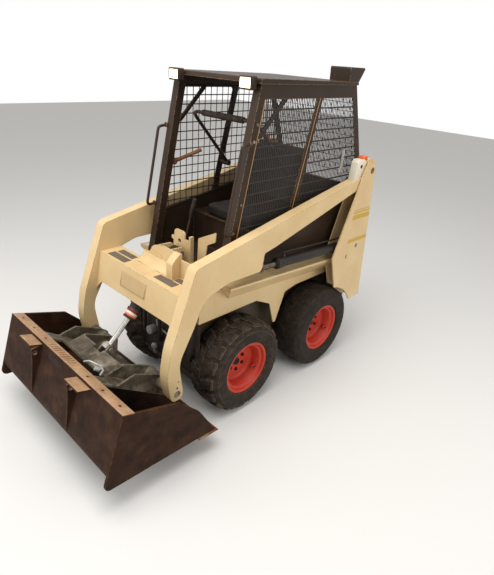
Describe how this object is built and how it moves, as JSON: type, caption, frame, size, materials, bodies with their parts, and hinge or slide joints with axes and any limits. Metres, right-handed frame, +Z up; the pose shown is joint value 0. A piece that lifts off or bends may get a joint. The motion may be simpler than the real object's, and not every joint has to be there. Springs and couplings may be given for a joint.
{
  "type": "compact skid steer loader with bucket",
  "caption": "compact skid steer loader on four rubber tyres with a mesh-sided cab, box-section lift arms lowered at its sides and a rusty bucket turned about under its attach frame",
  "frame": {"origin": "on the ground, at the middle of the machine's overall length and width", "axes": "+X to the machine's own left, +Y to its rear, +Z up"},
  "size_m": [1.142, 2.179, 1.9],
  "materials": {
    "cream_paint": "weathered cream-white machine enamel, chipped at edges",
    "dark_paint": "dark brown-black cab paint, semi-gloss, dusty",
    "screen_steel": "black painted screen steel",
    "rim_paint": "orange-red wheel enamel, chalky",
    "tyre_rubber": "dusty black rubber",
    "rusty_steel": "rusted bare steel with scoured patches",
    "worn_steel": "dark grey worn steel",
    "bright_rod": "polished chromed rod",
    "barrel_paint": "black cylinder paint",
    "pin_steel": "greased steel pin",
    "engine_iron": "plain cast engine mass",
    "seat_vinyl": "black seat vinyl"
  },
  "bodies": {
    "chassis": {"main_frame": "cream_paint", "axle_hubs": "worn_steel", "fender_beams": "cream_paint", "uprights": "cream_paint", "arm_pivot_pins": "pin_steel", "lift_base_pins": "pin_steel", "engine_block": "engine_iron", "rear_bumper": "dark_paint", "rear_hood": "cream_paint", "tailgate_hinges": "cream_paint", "cab_shell": "dark_paint", "cab_roof": "dark_paint", "side_screens": "screen_steel", "rear_screen": "screen_steel", "work_lights": "dark_paint", "grab_handles": "dark_paint", "seat_pan": "dark_paint", "seat_cushion": "seat_vinyl", "seat_back": "seat_vinyl", "steering_levers": "dark_paint", "foot_pedals": "dark_paint", "front_bracket": "cream_paint"},
    "wheel_front_left": {"rim_front_left": "rim_paint", "tyre_front_left": "tyre_rubber"},
    "wheel_front_right": {"rim_front_right": "rim_paint", "tyre_front_right": "tyre_rubber"},
    "wheel_rear_left": {"rim_rear_left": "rim_paint", "tyre_rear_left": "tyre_rubber"},
    "wheel_rear_right": {"rim_rear_right": "rim_paint", "tyre_rear_right": "tyre_rubber"},
    "lift_arms": {"arm_left": "cream_paint", "arm_right": "cream_paint", "cross_member": "cream_paint", "foot_pins": "pin_steel", "tilt_base_pin": "pin_steel"},
    "lift_cylinder_left": {"lift_barrel_left": "barrel_paint"},
    "lift_cylinder_right": {"lift_barrel_right": "barrel_paint"},
    "lift_piston_left": {"lift_rod_left": "bright_rod"},
    "lift_piston_right": {"lift_rod_right": "bright_rod"},
    "tilt_cylinder": {"tilt_barrel": "barrel_paint"},
    "tilt_piston": {"tilt_rod": "bright_rod"},
    "tool": {"attach_frame": "worn_steel", "tilt_eye_pins": "pin_steel", "bucket_shell": "rusty_steel", "bucket_brackets": "rusty_steel", "cutting_edge": "rusty_steel"},
    "rear_door": {"tailgate": "cream_paint"},
    "safety_bar": {"seat_bar": "dark_paint"}
  },
  "joints": [
    {"name": "lift", "type": "hinge", "parent": "chassis", "child": "lift_arms", "pos_m": [0, 0.92553, 1.325], "axis": [-1, 0, 0], "range_deg": [0, 70]},
    {"name": "bucket_tilt", "type": "hinge", "parent": "lift_arms", "child": "tool", "pos_m": [0, -0.59547, 0.366], "axis": [1, 0, 0], "range_deg": [-45, 18]},
    {"name": "lift_cylinder_swing_left", "type": "hinge", "parent": "chassis", "child": "lift_cylinder_left", "pos_m": [0.4045, 0.88053, 0.838], "axis": [-1, 0, 0], "range_deg": [0, 59]},
    {"name": "lift_piston_stroke_left", "type": "slide", "parent": "lift_cylinder_left", "child": "lift_piston_left", "axis": [0, -0.9979, 0.0654], "range_m": [0, 0.525]},
    {"name": "lift_cylinder_swing_right", "type": "hinge", "parent": "chassis", "child": "lift_cylinder_right", "pos_m": [-0.4045, 0.88053, 0.838], "axis": [-1, 0, 0], "range_deg": [0, 59]},
    {"name": "lift_piston_stroke_right", "type": "slide", "parent": "lift_cylinder_right", "child": "lift_piston_right", "axis": [0, -0.9979, 0.0654], "range_m": [0, 0.525]},
    {"name": "tilt_cylinder_swing", "type": "hinge", "parent": "lift_arms", "child": "tilt_cylinder", "pos_m": [-0.02, -0.24947, 0.915], "axis": [1, 0, 0], "range_deg": [-0.8, 1.9]},
    {"name": "tilt_piston_stroke", "type": "slide", "parent": "tilt_cylinder", "child": "tilt_piston", "axis": [0, -0.7107, -0.7035], "range_m": [-0.109, 0.0435]},
    {"name": "roll_front_left", "type": "hinge", "parent": "chassis", "child": "wheel_front_left", "pos_m": [0.337, -0.07997, 0.286], "axis": [-1, 0, 0], "continuous": true},
    {"name": "roll_front_right", "type": "hinge", "parent": "chassis", "child": "wheel_front_right", "pos_m": [-0.337, -0.07997, 0.286], "axis": [-1, 0, 0], "continuous": true},
    {"name": "roll_rear_left", "type": "hinge", "parent": "chassis", "child": "wheel_rear_left", "pos_m": [0.337, 0.64103, 0.286], "axis": [-1, 0, 0], "continuous": true},
    {"name": "roll_rear_right", "type": "hinge", "parent": "chassis", "child": "wheel_rear_right", "pos_m": [-0.337, 0.64103, 0.286], "axis": [-1, 0, 0], "continuous": true},
    {"name": "rear_door_swing", "type": "hinge", "parent": "chassis", "child": "rear_door", "pos_m": [-0.348, 1.07853, 0.487], "axis": [0, 0, 1], "range_deg": [0, 95]},
    {"name": "safety_bar_swing", "type": "hinge", "parent": "chassis", "child": "safety_bar", "pos_m": [0, 0.34853, 1.3], "axis": [1, 0, 0], "range_deg": [0, 75]}
  ],
  "couplings": [
    {"joint": "lift_cylinder_swing_left", "follows": "lift", "ratio": 0.84},
    {"joint": "lift_cylinder_swing_right", "follows": "lift", "ratio": 0.84},
    {"joint": "lift_piston_stroke_left", "follows": "lift", "m_per_rad": 0.4275},
    {"joint": "lift_piston_stroke_right", "follows": "lift", "m_per_rad": 0.4275},
    {"joint": "tilt_cylinder_swing", "follows": "bucket_tilt", "ratio": -0.04},
    {"joint": "tilt_piston_stroke", "follows": "bucket_tilt", "m_per_rad": 0.1375}
  ]
}
